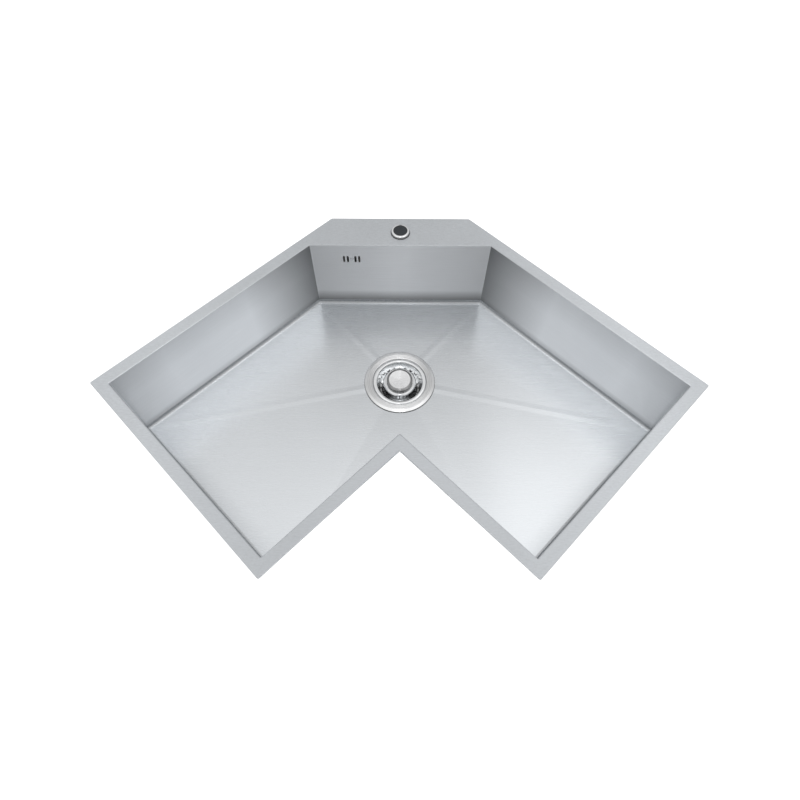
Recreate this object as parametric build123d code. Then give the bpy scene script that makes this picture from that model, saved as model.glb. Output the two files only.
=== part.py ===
from build123d import *
import os
from math import atan2, cos, degrees, hypot, radians, sin, sqrt

# Corner kitchen sink in millimetres. X runs to the right, Y towards the corner of the room
# and Z up. The origin is where the axis of the waste crosses the top of the worktop.

# Plan of the rim
CORNER_SIDE = 730.0  # from the square corner of the plan to the far end of an arm
ARM_WIDTH = 450.0
BACK_EDGE = 272.0  # the straight edge cut across the corner
LEDGE_WIDTH = 72.0
REAR_RIM = 24.0
END_RIM = 22.0
NOTCH_RIM = 21.0
WASTE_SETBACK = 200.0  # from the back wall to the axis of the waste
OUTER_CORNER = 3.0
BACK_CORNER = 5.0  # bead radius in the two welded corners beside the back wall
INNER_CORNER = 1.5
NOTCH_CORNER = 3.0

# Sheet and bowl
SHEET = 1.2
RIM_HEIGHT = 3.0  # top of the rim over the worktop
BEND_RADIUS = 0.8  # inside, where the rim turns down into the bowl
EDGE_ROUND = 1.1
BOWL_DEPTH = 172.0  # from the top of the rim to the foot of the walls
FLOOR_FALL = 4.0
FOLD_RADIUS = 6.0
FOLD_HEIGHT = 9.0  # edge of the floor turned up to meet the walls
CREASE_SHARE = 0.1  # how near to the waste the creases run

# Waste seat in the floor
SEAT_RADIUS = 71.5
SEAT_WIDTH = 12.5  # flat ring round the hole

# Tap ledge
TAP_HOLE_RADIUS = 17.5
TAP_SETBACK = 34.0  # from the back wall to the middle of the tap hole
STIFFENER_LENGTH = 110.0
STIFFENER_THICKNESS = 3.0
STIFFENER_HOLE_GAP = 1.0
STIFFENER_WALL_GAP = 4.0
STIFFENER_EDGE_GAP = 15.0

# Overflow
OVERFLOW_X = -96.0
OVERFLOW_DROP = 38.0  # from the top of the rim to the middle of the slots
SLOT_LENGTH = 17.5
SLOT_WIDTH = 4.2
SLOT_NEAR = 7.5  # from the screw to the inner pair
SLOT_FAR = 15.0
OVERFLOW_SCREW_RADIUS = 2.0
OVERFLOW_SCREW_LENGTH = 14.0  # behind the gasket
OVERFLOW_SCREW_HEAD = 1.2
OVERFLOW_BOSS_RADIUS = 5.0
OVERFLOW_HEAD_WIDTH = 58.0
OVERFLOW_HEAD_HEIGHT = 44.0
OVERFLOW_HEAD_DEPTH = 34.0
OVERFLOW_HEAD_CORNER = 8.0
OVERFLOW_GASKET = 2.0
PLASTIC_WALL = 2.0
PIPE_RADIUS = 10.0
PIPE_WALL = 1.5
PIPE_BEND = 35.0
PIPE_INSERT = 14.0
SPIGOT_WALL = 2.7
SPIGOT_LENGTH = 22.0
SLIP_NUT_WALL = 3.4
SLIP_NUT_HEIGHT = 14.0
SLIP_NUT_LIP = 2.5
SLIP_NUT_RIB = 3.0
SLIP_NUT_RIBS = 8

# Rim seal and sound pads
SEAL_INSET = 2.5
SEAL_WIDTH = 8.0
FLOOR_PAD = 2.5
FLOOR_PAD_SIZE = 230.0
FLOOR_PAD_MARGIN = 40.0
WALL_PAD = 3.0
WALL_PAD_DROP = 70.0
WALL_PAD_HEIGHT = 80.0
REAR_PAD_LENGTH = 260.0
END_PAD_LENGTH = 230.0

# Fixing clips
STUD_RADIUS = 2.5
STUD_LENGTH = 56.0
STUD_OFFSET = 7.4  # from the outside of the wall to the stud
BRACKET_DROP = 3.0  # top of the bracket below the worktop's top
BRACKET_HEIGHT = 26.0
BRACKET_WIDTH = 30.0
BRACKET_SHEET = 2.0
EAR_WIDTH = 18.0
CLAW_LENGTH = 34.0
CLAW_WIDTH = 12.0
CLAW_SHEET = 2.5
CLAW_HUB = 6.0
CLAW_TOOTH = 9.0
CLAW_DROP = 46.0  # underside of the claw below the worktop's top
CLIP_NUT_HEIGHT = 4.0
CLIP_NUT_RADIUS = 4.6
CLIP_NUT_FLANGE = 1.5
CLIP_NUT_FLANGE_RADIUS = 6.0

# Waste, measured from the top of the seat
FLANGE_GAP = 1.5  # from the edge of the seat to the flange
FLANGE_RISE = 4.2
FLANGE_SLOPE = 6.0  # width of the sloping outer band of the flange
FLANGE_STEP = 0.6
FLANGE_FALL = 0.3  # from the flange's crest to its inner edge
CUP_SHOULDER_WIDTH = 6.3
CUP_SHOULDER_HEIGHT = 1.2
CUP_TAPER = 1.0
CUP_DEPTH = 40.0
CUP_SPIGOT = 5.0
OUTLET_SETBACK = 20.5  # from the wall of the cup to its outlet
GASKET = 2.5
GASKET_SETBACK = 1.0  # from the flange's edge to the gaskets
BODY_WALL = 3.5
BODY_RIM_WIDTH = 4.0
BODY_RIM_HEIGHT = 1.5
CUP_SEAL = 1.3
CHAMBER_STEP = 2.5  # chamber wider than the outlet
CHAMBER_WALL = 2.5
CHAMBER_SLOPE = 7.0
CHAMBER_DEPTH = 28.0
CHAMBER_FLOOR = 4.0
TAIL_RADIUS = 23.9
TAIL_BORE = 21.0
TAIL_LENGTH = 28.0
BACKNUT_WALL = 7.0
BACKNUT_FLANGE = 3.0
BACKNUT_HEIGHT = 15.0
BACKNUT_RIB = 4.0
BACKNUT_RIBS = 12
CUP_SCREW_RADIUS = 2.0
CUP_SCREW_SETBACK = 9.5  # from the wall of the cup to its screws
CUP_SCREW_LENGTH = 7.0
CUP_SCREW_HEAD = 3.6
CUP_SCREW_HEAD_HEIGHT = 1.8
BRANCH_DROP = 58.0
BRANCH_REACH = 80.0

# Basket, stopper and knob, measured from the top of the seat
BASKET_SHEET = 0.8
BASKET_RIM_TOP = 4.0
BASKET_GAP = 2.7  # from the wall of the cup to the basket's opening
BASKET_TAPER = 1.8
BASKET_SLOPE = 3.0
BASKET_DEPTH = 24.0
TROUGH_WIDTH = 7.0
PLATEAU_HEIGHT = 2.8
WALL_SLOTS = 24
WALL_SLOT_WIDTH = 3.0
WALL_SLOT_LENGTH = 6.0
WALL_SLOT_DROP = 16.0  # from the top of the seat to the middle of the slots
FLOOR_HOLES = 24
FLOOR_HOLE_RADIUS = 1.6
KNOB_SETBACK = 7.2  # from the edge of the plateau to the knob
KNOB_BEVEL = 5.8
KNOB_HEIGHT = 10.4
KNOB_DISH = 0.8
STEM_RADIUS = 4.0
STEM_COLLAR = 7.0
STEM_COLLAR_HEIGHT = 2.0
STEM_END = 8.0  # below the rubber
STEM_NUT_RADIUS = 7.5
STEM_NUT_HEIGHT = 5.0
STOPPER_LAP = 4.5  # rubber wider than the outlet
STOPPER_RUBBER = 3.0
STOPPER_PLATE_SETBACK = 3.5
BUSH_RADIUS = 7.0
BUSH_FLANGE = 1.2
BUSH_LENGTH = 8.0

# Tap-hole cap, measured from the top of the rim
CAP_RADIUS = 18.5
CAP_TOP_RADIUS = 13.2
CAP_HEIGHT = 5.5
CAP_EDGE = 0.8
CAP_SEAL = 0.75
CAP_FACE = 1.1
CAP_BORDER = 1.0
CAP_HOLLOW = 2.2
CAP_WALL = 2.2
COLLET_WALL = 2.6
COLLET_DEPTH = 14.0
COLLET_SLIT = 3.0

# Fits
RUNNING = 0.08  # radial, stem in bush and claw on stud
SEATING = 0.3  # between parts that rest on each other but move apart
PASSING = 0.5  # radial, the cap's collet in the tap hole
THREAD = 0.05  # radial, screwed and pushed parts

os.makedirs("parts", exist_ok=True)

floor_z = RIM_HEIGHT - BOWL_DEPTH
seat_z = floor_z - FLOOR_FALL
wall_foot = floor_z + FOLD_HEIGHT
rim_underside = RIM_HEIGHT - SHEET

SIDES = ["back", "rear_left", "end_left", "notch_left", "notch_right", "end_right", "rear_right"]
RIM_WIDTHS = [LEDGE_WIDTH, REAR_RIM, END_RIM, NOTCH_RIM, NOTCH_RIM, END_RIM, REAR_RIM]


def save(name, *solids):
    """Write one sub-part, which may be several solids that are alike."""
    export_step(solids[0] if len(solids) == 1 else Compound(list(solids)), f"parts/{name}.step")


# ---------------------------------------------------------------- plan outlines

back_y = WASTE_SETBACK + LEDGE_WIDTH
corner_y = back_y + BACK_EDGE / 2
end_x = CORNER_SIDE / sqrt(2)
tip_x = (CORNER_SIDE - ARM_WIDTH) / sqrt(2)
end_y = corner_y - end_x
tip_y = end_y - ARM_WIDTH / sqrt(2)
notch_y = corner_y - ARM_WIDTH * sqrt(2)
PLAN = [
    (BACK_EDGE / 2, back_y),
    (-BACK_EDGE / 2, back_y),
    (-end_x, end_y),
    (-tip_x, tip_y),
    (0, notch_y),
    (tip_x, tip_y),
    (end_x, end_y),
]


def inward(side):
    """Unit vector from a side of the plan into the bowl."""
    (x0, y0), (x1, y1) = PLAN[side], PLAN[(side + 1) % len(PLAN)]
    length = hypot(x1 - x0, y1 - y0)
    return -(y1 - y0) / length, (x1 - x0) / length


def inset_plan(insets):
    """Corners of the plan after each side has moved into the bowl by its own inset."""
    corners = []
    for side, (x, y) in enumerate(PLAN):
        (ax, ay), (bx, by) = inward(side - 1), inward(side)
        along_a = ax * x + ay * y + insets[side - 1]
        along_b = bx * x + by * y + insets[side]
        cross = ax * by - ay * bx
        corners.append(((along_a * by - along_b * ay) / cross, (ax * along_b - bx * along_a) / cross))
    return corners


def plan_face(corners, radii, z=0.0):
    """Flat face with its corners rounded, at a height."""
    return Pos(0, 0, z) * make_face(FilletPolyline(*corners, radius=radii, close=True))


def plan_slab(corners, radii, z_low, z_high):
    return extrude(plan_face(corners, radii, z_low), z_high - z_low, dir=(0, 0, 1))


def rim_line(offset):
    """Outline that stays a fixed distance outside the mouth of the bowl."""
    return inset_plan([width - offset for width in RIM_WIDTHS])


mouth_radii = [BACK_CORNER, BACK_CORNER, INNER_CORNER, INNER_CORNER, NOTCH_CORNER,
               INNER_CORNER, INNER_CORNER]
wall_radii = [radius + SHEET for radius in mouth_radii]
wall_radii[SIDES.index("notch_right")] = NOTCH_CORNER - SHEET
outer_radii = [OUTER_CORNER] * len(PLAN)
lip_radii = [OUTER_CORNER - SHEET] * len(PLAN)
lip_radii[SIDES.index("notch_right")] = OUTER_CORNER + SHEET


# ---------------------------------------------------------------- bowl walls and rim


def bowl_shell():
    """Rim, its turned-down lip and the upright walls, as they are once welded together."""
    rim = plan_slab(PLAN, outer_radii, rim_underside, RIM_HEIGHT)
    rim -= plan_slab(rim_line(0), mouth_radii, rim_underside, RIM_HEIGHT)
    lip = plan_slab(PLAN, outer_radii, 0, rim_underside)
    lip -= plan_slab(inset_plan([SHEET] * len(PLAN)), lip_radii, 0, rim_underside)
    walls = plan_slab(rim_line(SHEET), wall_radii, wall_foot, rim_underside)
    walls -= plan_slab(rim_line(0), mouth_radii, wall_foot, rim_underside)
    shell = rim + lip + walls
    top = shell.faces().sort_by(Axis.Z)[-1]
    shell = fillet(top.inner_wires()[0].edges(), BEND_RADIUS + SHEET)
    top = shell.faces().sort_by(Axis.Z)[-1]
    return fillet(top.outer_wire().edges(), EDGE_ROUND)


def side_territory(side):
    """The part of the plan between the two mitres of one side."""
    mouth = rim_line(0)
    corners = []
    for corner in (side, (side + 1) % len(PLAN)):
        (ox, oy), (ix, iy) = PLAN[corner], mouth[corner]
        outside = (1.2 * ox - 0.2 * ix, 1.2 * oy - 0.2 * iy)
        inside = (1.4 * ix - 0.4 * ox, 1.4 * iy - 0.4 * oy)
        corners.append((outside, inside))
    (outer_a, inner_a), (outer_b, inner_b) = corners
    return plan_slab([outer_a, outer_b, inner_b, inner_a], 0, wall_foot, RIM_HEIGHT)


def upright_slot(x, z):
    profile = Plane.XZ * Pos(x, z) * Rot(0, 0, 90) * SlotOverall(SLOT_LENGTH, SLOT_WIDTH)
    return Pos(0, WASTE_SETBACK, 0) * extrude(profile, 2 * SHEET, both=True)


overflow_z = RIM_HEIGHT - OVERFLOW_DROP
tap_y = WASTE_SETBACK + TAP_SETBACK
shell = bowl_shell()
for side, name in enumerate(SIDES):
    panel = shell & side_territory(side)
    if name == "back":
        panel -= Pos(0, tap_y, rim_underside) * Cylinder(TAP_HOLE_RADIUS, 4 * SHEET)
        for offset in (-SLOT_FAR, -SLOT_NEAR, SLOT_NEAR, SLOT_FAR):
            panel -= upright_slot(OVERFLOW_X + offset, overflow_z)
        screw_hole = Rot(90, 0, 0) * Cylinder(OVERFLOW_SCREW_RADIUS + THREAD, 4 * SHEET)
        panel -= Pos(OVERFLOW_X, WASTE_SETBACK, overflow_z) * screw_hole
    save(f"{name}_wall", panel)


# ---------------------------------------------------------------- creased floor


def floor_basin(under):
    """Space over the creased floor, its skin moved outwards by a thickness."""
    rings = []
    for angle in (0, 30, 60, 90):
        reach = FOLD_RADIUS + under
        inset = FOLD_RADIUS - reach * cos(radians(angle))
        height = floor_z + FOLD_RADIUS - reach * sin(radians(angle))
        rings.append(plan_face(rim_line(-inset), 0, height))
    crease_end = [(CREASE_SHARE * x, CREASE_SHARE * y) for x, y in rim_line(-FOLD_RADIUS)]
    rings.append(plan_face(crease_end, 0, floor_z - under - FLOOR_FALL * (1 - CREASE_SHARE)))
    basin = loft(rings, ruled=True)
    return basin + plan_slab(rim_line(under), 0, floor_z + FOLD_RADIUS, wall_foot)


def seat_disc(radius, z_low, z_high):
    return Pos(0, 0, z_low) * Cylinder(radius, z_high - z_low, align=(Align.CENTER, Align.CENTER, Align.MIN))


hole_radius = SEAT_RADIUS - SEAT_WIDTH
basin_top = floor_basin(0)
basin_under = floor_basin(SHEET)
bowl_floor = basin_under + seat_disc(SEAT_RADIUS + SHEET, seat_z - SHEET, floor_z)
bowl_floor -= basin_top
bowl_floor -= seat_disc(SEAT_RADIUS, seat_z, wall_foot)
bowl_floor -= seat_disc(hole_radius, seat_z - 2 * SHEET, wall_foot)
save("bowl_floor", bowl_floor)

pad_layer = floor_basin(SHEET + FLOOR_PAD) - basin_under
pad_setback = CORNER_SIDE - END_RIM - FLOOR_PAD_MARGIN - FLOOR_PAD_SIZE / 2
pad_x = (pad_setback - ARM_WIDTH / 2) / sqrt(2)
pad_y = corner_y - (pad_setback + ARM_WIDTH / 2) / sqrt(2)
for side, sign in (("left", -1), ("right", 1)):
    pad = Rot(0, 0, 45) * Box(FLOOR_PAD_SIZE, FLOOR_PAD_SIZE, 4 * FLOOR_FALL)
    save(f"floor_pad_{side}", pad_layer & (Pos(sign * pad_x, pad_y, seat_z) * pad))


# ---------------------------------------------------------------- rim seal, stiffener, wall pads

seal_radii = [OUTER_CORNER] * len(PLAN)
rim_seal = plan_slab(inset_plan([SEAL_INSET] * len(PLAN)), seal_radii, 0, rim_underside)
rim_seal -= plan_slab(inset_plan([SEAL_INSET + SEAL_WIDTH] * len(PLAN)), seal_radii, 0, rim_underside)
save("rim_seal", rim_seal)

stiffener_low = WASTE_SETBACK + STIFFENER_WALL_GAP
stiffener_depth = LEDGE_WIDTH - STIFFENER_WALL_GAP - STIFFENER_EDGE_GAP
stiffener = Box(STIFFENER_LENGTH, stiffener_depth, STIFFENER_THICKNESS)
stiffener = fillet(stiffener.edges().filter_by(Axis.Z), OUTER_CORNER)
stiffener = Pos(0, stiffener_low + stiffener_depth / 2, rim_underside - STIFFENER_THICKNESS / 2) * stiffener
stiffener -= Pos(0, tap_y, rim_underside) * Cylinder(
    TAP_HOLE_RADIUS + STIFFENER_HOLE_GAP, 4 * STIFFENER_THICKNESS
)
save("ledge_stiffener", stiffener)


def on_wall(side, share):
    """Frame on the outside of a wall: X along it, Y away from the bowl, origin at z = 0."""
    corners = rim_line(SHEET)
    (x0, y0), (x1, y1) = corners[side], corners[(side + 1) % len(corners)]
    nx, ny = inward(side)
    turn = degrees(atan2(-ny, -nx)) - 90
    return Pos(x0 + share * (x1 - x0), y0 + share * (y1 - y0), 0) * Rot(0, 0, turn)


for name, length in (("rear_left", REAR_PAD_LENGTH), ("rear_right", REAR_PAD_LENGTH),
                     ("end_left", END_PAD_LENGTH), ("end_right", END_PAD_LENGTH)):
    pad = Box(length, WALL_PAD, WALL_PAD_HEIGHT)
    pad = fillet(pad.edges().filter_by(Axis.Y), 2 * OUTER_CORNER)
    pad = Pos(0, WALL_PAD / 2, -WALL_PAD_DROP - WALL_PAD_HEIGHT / 2) * pad
    save(f"wall_pad_{name}", on_wall(SIDES.index(name), 0.5) * pad)


# ---------------------------------------------------------------- fixing clips

CLIP_PLACES = [("rear_left", 0.2), ("rear_left", 0.75), ("end_left", 0.5), ("notch_left", 0.5),
               ("notch_right", 0.5), ("end_right", 0.5), ("rear_right", 0.25), ("rear_right", 0.8)]


def clip_bracket():
    """Plate on the wall, ear under the rim, and the stud that hangs from the ear."""
    ear_reach = STUD_OFFSET + 1.6 * STUD_RADIUS
    plate = Pos(0, BRACKET_SHEET / 2, -BRACKET_DROP - BRACKET_HEIGHT / 2) * Box(
        BRACKET_WIDTH, BRACKET_SHEET, BRACKET_HEIGHT
    )
    plate = fillet(plate.edges().filter_by(Axis.Y), OUTER_CORNER)
    ear = Pos(0, ear_reach / 2, -BRACKET_DROP - 2 * BRACKET_SHEET) * Box(EAR_WIDTH, ear_reach, BRACKET_SHEET)
    outer_edges = ear.edges().filter_by(Axis.Z).sort_by(Axis.Y)[-2:]
    ear = fillet(outer_edges, OUTER_CORNER)
    stud_top = -BRACKET_DROP - 2 * BRACKET_SHEET
    stud = Pos(0, STUD_OFFSET, stud_top - STUD_LENGTH / 2) * Cylinder(STUD_RADIUS, STUD_LENGTH)
    stud = chamfer(stud.edges().sort_by(Axis.Z)[0], STUD_RADIUS / 4)
    return plate + ear + stud


def clip_nut():
    """Hexagon nut whose flange carries the claw."""
    flange_top = -CLAW_DROP - SEATING
    flange = Cylinder(CLIP_NUT_FLANGE_RADIUS, CLIP_NUT_FLANGE)
    flange = Pos(0, STUD_OFFSET, flange_top - CLIP_NUT_FLANGE / 2) * flange
    hexagon = extrude(RegularPolygon(CLIP_NUT_RADIUS, 6), CLIP_NUT_HEIGHT)
    hexagon = Pos(0, STUD_OFFSET, flange_top - CLIP_NUT_FLANGE - CLIP_NUT_HEIGHT) * hexagon
    bore = Pos(0, STUD_OFFSET, flange_top) * Cylinder(STUD_RADIUS + THREAD, 4 * CLIP_NUT_HEIGHT)
    return flange + hexagon - bore


def clip_claw():
    """Flat arm with a hub on the stud and a tooth turned up at its far end."""
    arm = Pos(CLAW_LENGTH / 2, 0) * SlotCenterToCenter(CLAW_LENGTH, CLAW_WIDTH)
    arm = extrude(arm, CLAW_SHEET)
    tip = Pos(CLAW_LENGTH, 0, 0) * Box(
        CLAW_WIDTH, CLAW_WIDTH, 3 * CLAW_SHEET, align=(Align.MIN, Align.CENTER, Align.CENTER)
    )
    tooth = Pos(CLAW_LENGTH, 0, 0) * Box(
        CLAW_SHEET, CLAW_WIDTH, CLAW_TOOTH + CLAW_SHEET, align=(Align.MAX, Align.CENTER, Align.MIN)
    )
    hub = Cylinder(CLAW_WIDTH / 2, CLAW_HUB, align=(Align.CENTER, Align.CENTER, Align.MIN))
    bore = Cylinder(STUD_RADIUS + RUNNING, 4 * CLAW_HUB)
    return Pos(0, STUD_OFFSET, -CLAW_DROP) * (arm - tip + tooth + hub - bore)


places = [on_wall(SIDES.index(side), share) for side, share in CLIP_PLACES]
save("clip_brackets", *[place * clip_bracket() for place in places])
save("clip_nuts", *[place * clip_nut() for place in places])
for number, place in enumerate(places, start=1):
    save(f"clip_claw_{number}", place * clip_claw())


# ---------------------------------------------------------------- turned and pressed pieces


def turned(points, radii=0, z=0.0, x=0.0, y=0.0):
    """Body of revolution from a closed profile of (radius, height) points."""
    profile = Plane.XZ * make_face(FilletPolyline(*points, radius=radii, close=True))
    return Pos(x, y, z) * revolve(profile, Axis.Z, 360)


def side_point(before, here, after, distance):
    """Point beside a corner of a path, at a distance to the right of both its runs."""
    normals = []
    for (x0, z0), (x1, z1) in ((before, here), (here, after)):
        length = hypot(x1 - x0, z1 - z0)
        normals.append(((z1 - z0) / length, -(x1 - x0) / length))
    (ax, az), (bx, bz) = normals
    scale = distance / (1 + ax * bx + az * bz)
    return here[0] + scale * (ax + bx), here[1] + scale * (az + bz)


def pressed_profile(path, thickness, bend):
    """Section of a sheet whose upper face follows a path: its points and their radii."""
    first, last = path[0], path[-1]
    before_first = (2 * first[0] - path[1][0], 2 * first[1] - path[1][1])
    after_last = (2 * last[0] - path[-2][0], 2 * last[1] - path[-2][1])
    walk = [before_first, *path, after_last]
    under, upper_radii, under_radii = [], [0], [0]
    for before, here, after in zip(walk, walk[1:], walk[2:]):
        under.append(side_point(before, here, after, -thickness))
    for before, here, after in zip(path, path[1:], path[2:]):
        turn = (here[0] - before[0]) * (after[1] - here[1]) - (here[1] - before[1]) * (after[0] - here[0])
        upper_radii.append(bend if turn < 0 else bend + thickness)
        under_radii.append(bend + thickness if turn < 0 else bend)
    upper_radii.append(0)
    under_radii.append(0)
    return path + under[::-1], upper_radii + under_radii[::-1]


# ---------------------------------------------------------------- waste cup, body and nut

flange_radius = SEAT_RADIUS - FLANGE_GAP
body_radius = hole_radius - PASSING
body_bore = body_radius - BODY_WALL
shoulder_radius = body_bore - SHEET
cup_radius = shoulder_radius - CUP_SHOULDER_WIDTH
outlet_radius = cup_radius - OUTLET_SETBACK
flange_edge = BODY_RIM_HEIGHT + SHEET
cup_path = [
    (flange_radius, flange_edge),
    (flange_radius - FLANGE_SLOPE, FLANGE_RISE),
    (shoulder_radius + FLANGE_STEP, FLANGE_RISE - FLANGE_FALL),
    (shoulder_radius, CUP_SHOULDER_HEIGHT),
    (cup_radius, CUP_SHOULDER_HEIGHT),
    (cup_radius - CUP_TAPER, -CUP_DEPTH),
    (outlet_radius, -CUP_DEPTH),
    (outlet_radius, -CUP_DEPTH - CUP_SPIGOT),
]
cup_points, cup_radii = pressed_profile(cup_path, SHEET, SHEET / 2)
strainer_cup = turned(cup_points, cup_radii, seat_z)
screw_spots = PolarLocations(cup_radius - CUP_SCREW_SETBACK, 3, start_angle=30)
for spot in screw_spots:
    strainer_cup -= spot * Pos(0, 0, seat_z - CUP_DEPTH) * Cylinder(CUP_SCREW_RADIUS + THREAD, 4 * SHEET)
save("strainer_cup", strainer_cup)

body_rim_radius = body_radius + BODY_RIM_WIDTH
gasket_outer = flange_radius - GASKET_SETBACK
gasket_slope = flange_radius - FLANGE_SLOPE
gasket_inner = body_rim_radius + PASSING
gasket_crest = FLANGE_RISE - SHEET - 2 * THREAD
flange_gasket = turned([
    (gasket_inner, 0),
    (gasket_outer, 0),
    (gasket_outer, BODY_RIM_HEIGHT),
    (gasket_slope, gasket_crest),
    (gasket_inner, gasket_crest),
], 0, seat_z)
save("flange_gasket", flange_gasket)

under_floor = -SHEET
under_gasket = turned([
    (hole_radius, under_floor - GASKET),
    (gasket_outer, under_floor - GASKET),
    (gasket_outer, under_floor),
    (hole_radius, under_floor),
], 0, seat_z)
save("under_gasket", under_gasket)

shelf_z = -CUP_DEPTH - SHEET - CUP_SEAL
chamber_radius = outlet_radius + CHAMBER_STEP
chamber_outer = chamber_radius + CHAMBER_WALL
chamber_z = shelf_z - CHAMBER_DEPTH
tail_z = chamber_z - CHAMBER_FLOOR
rim_bore = shoulder_radius + FLANGE_STEP + SHEET + SEATING
body_points = [
    (rim_bore, BODY_RIM_HEIGHT),
    (body_rim_radius, BODY_RIM_HEIGHT),
    (body_rim_radius, 0),
    (body_radius, 0),
    (body_radius, shelf_z),
    (chamber_outer, shelf_z - CHAMBER_SLOPE),
    (chamber_outer, chamber_z),
    (TAIL_RADIUS, tail_z),
    (TAIL_RADIUS, tail_z - TAIL_LENGTH),
    (TAIL_BORE, tail_z - TAIL_LENGTH),
    (TAIL_BORE, tail_z),
    (chamber_radius, chamber_z + CHAMBER_FLOOR / 2),
    (chamber_radius, shelf_z),
    (body_bore, shelf_z),
    (body_bore, -THREAD),
    (rim_bore, -THREAD),
]
waste_body = turned(body_points, 0, seat_z)

overflow_y = WASTE_SETBACK + SHEET + OVERFLOW_GASKET + OVERFLOW_HEAD_DEPTH / 2
branch_turn = degrees(atan2(overflow_y, OVERFLOW_X))
branch_z = seat_z - BRANCH_DROP
spigot_bore = PIPE_RADIUS + THREAD
spigot_radius = spigot_bore + SPIGOT_WALL


def along_branch(radius, start, end):
    """Round bar that lies along the overflow branch of the waste."""
    bar = Cylinder(radius, end - start, align=(Align.CENTER, Align.CENTER, Align.MIN))
    return Pos(0, 0, branch_z) * Rot(0, 0, branch_turn) * Pos(start, 0, 0) * Rot(0, 90, 0) * bar


waste_body += along_branch(spigot_radius, chamber_radius + CHAMBER_WALL / 2, BRANCH_REACH)
waste_body -= along_branch(spigot_bore, BRANCH_REACH - PIPE_INSERT - PLASTIC_WALL, BRANCH_REACH)
waste_body -= along_branch(PIPE_RADIUS - PIPE_WALL, chamber_radius / 2, BRANCH_REACH)
pilot_depth = CUP_SCREW_LENGTH - SHEET - CUP_SEAL + PASSING
for spot in screw_spots:
    pilot = Cylinder(CUP_SCREW_RADIUS + THREAD, pilot_depth, align=(Align.CENTER, Align.CENTER, Align.MAX))
    waste_body -= spot * Pos(0, 0, seat_z + shelf_z) * pilot
save("waste_body", waste_body)

seal_inner = outlet_radius + SHEET + 2 * SEATING
seal_outer = cup_radius - CUP_TAPER - SHEET
cup_seal = turned([
    (seal_inner, shelf_z),
    (seal_outer, shelf_z),
    (seal_outer, shelf_z + CUP_SEAL),
    (seal_inner, shelf_z + CUP_SEAL),
], 0, seat_z)
for spot in screw_spots:
    cup_seal -= spot * Pos(0, 0, seat_z + shelf_z) * Cylinder(CUP_SCREW_RADIUS + THREAD, 4 * CUP_SEAL)
save("cup_seal", cup_seal)

cup_screw = turned([
    (0, -CUP_SCREW_LENGTH),
    (CUP_SCREW_RADIUS, -CUP_SCREW_LENGTH),
    (CUP_SCREW_RADIUS, 0),
    (CUP_SCREW_HEAD, 0),
    (CUP_SCREW_HEAD, CUP_SCREW_HEAD_HEIGHT / 2),
    (CUP_SCREW_HEAD / 2, CUP_SCREW_HEAD_HEIGHT),
    (0, CUP_SCREW_HEAD_HEIGHT),
])
save("cup_screws", *[spot * Pos(0, 0, seat_z - CUP_DEPTH) * cup_screw for spot in screw_spots])

nut_top = under_floor - GASKET
backnut_radius = body_radius + BACKNUT_WALL
backnut = turned([
    (body_radius + THREAD, nut_top),
    (flange_radius, nut_top),
    (flange_radius, nut_top - BACKNUT_FLANGE),
    (backnut_radius, nut_top - BACKNUT_FLANGE - GASKET_SETBACK),
    (backnut_radius, nut_top - BACKNUT_HEIGHT),
    (body_radius + THREAD, nut_top - BACKNUT_HEIGHT),
], 0, seat_z)
rib_height = BACKNUT_HEIGHT - BACKNUT_FLANGE
rib = Box(BACKNUT_RIB, BACKNUT_RIB, rib_height, align=(Align.CENTER, Align.CENTER, Align.MIN))
for spot in PolarLocations(backnut_radius, BACKNUT_RIBS):
    backnut += spot * Pos(0, 0, seat_z + nut_top - BACKNUT_HEIGHT) * rib
save("waste_backnut", backnut)


# ---------------------------------------------------------------- basket and stopper

basket_opening = cup_radius - BASKET_GAP
basket_foot = basket_opening - BASKET_TAPER - BASKET_SLOPE
plateau_radius = basket_foot - TROUGH_WIDTH
rim_crown = (shoulder_radius + basket_opening) / 2
rim_low = CUP_SHOULDER_HEIGHT + SEATING + BASKET_SHEET
basket_path = [
    (shoulder_radius - BASKET_SHEET, rim_low),
    (shoulder_radius - 2 * BASKET_SHEET, BASKET_RIM_TOP - BASKET_SHEET / 2),
    (rim_crown, BASKET_RIM_TOP),
    (basket_opening + 2 * BASKET_SHEET, BASKET_RIM_TOP - BASKET_SHEET / 2),
    (basket_opening, BASKET_RIM_TOP - 3 * BASKET_SHEET),
    (basket_opening - BASKET_TAPER, -BASKET_DEPTH + 5 * BASKET_SHEET),
    (basket_foot, -BASKET_DEPTH),
    (plateau_radius + TROUGH_WIDTH / 2, -BASKET_DEPTH),
    (plateau_radius + 2 * BASKET_SHEET, -BASKET_DEPTH + 5 * BASKET_SHEET),
    (plateau_radius, PLATEAU_HEIGHT - 3 * BASKET_SHEET),
    (plateau_radius - 3 * BASKET_SHEET, PLATEAU_HEIGHT),
    (BUSH_RADIUS + THREAD, PLATEAU_HEIGHT),
]
basket_points, basket_radii = pressed_profile(basket_path, BASKET_SHEET, 0.6 * BASKET_SHEET)
basket = turned(basket_points, basket_radii, seat_z)
slot_shape = Plane.YZ * (Rot(0, 0, 90) * SlotOverall(WALL_SLOT_LENGTH, WALL_SLOT_WIDTH))
slot_tool = extrude(slot_shape, 2 * BASKET_TAPER, both=True)
for spot in PolarLocations(basket_opening - BASKET_TAPER, WALL_SLOTS):
    basket -= Pos(0, 0, seat_z - WALL_SLOT_DROP) * spot * slot_tool
hole_tool = Cylinder(FLOOR_HOLE_RADIUS, 4 * BASKET_SHEET)
for spot in PolarLocations(basket_foot - TROUGH_WIDTH / 4, FLOOR_HOLES):
    basket -= Pos(0, 0, seat_z - BASKET_DEPTH) * spot * hole_tool
save("basket", basket)

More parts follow.
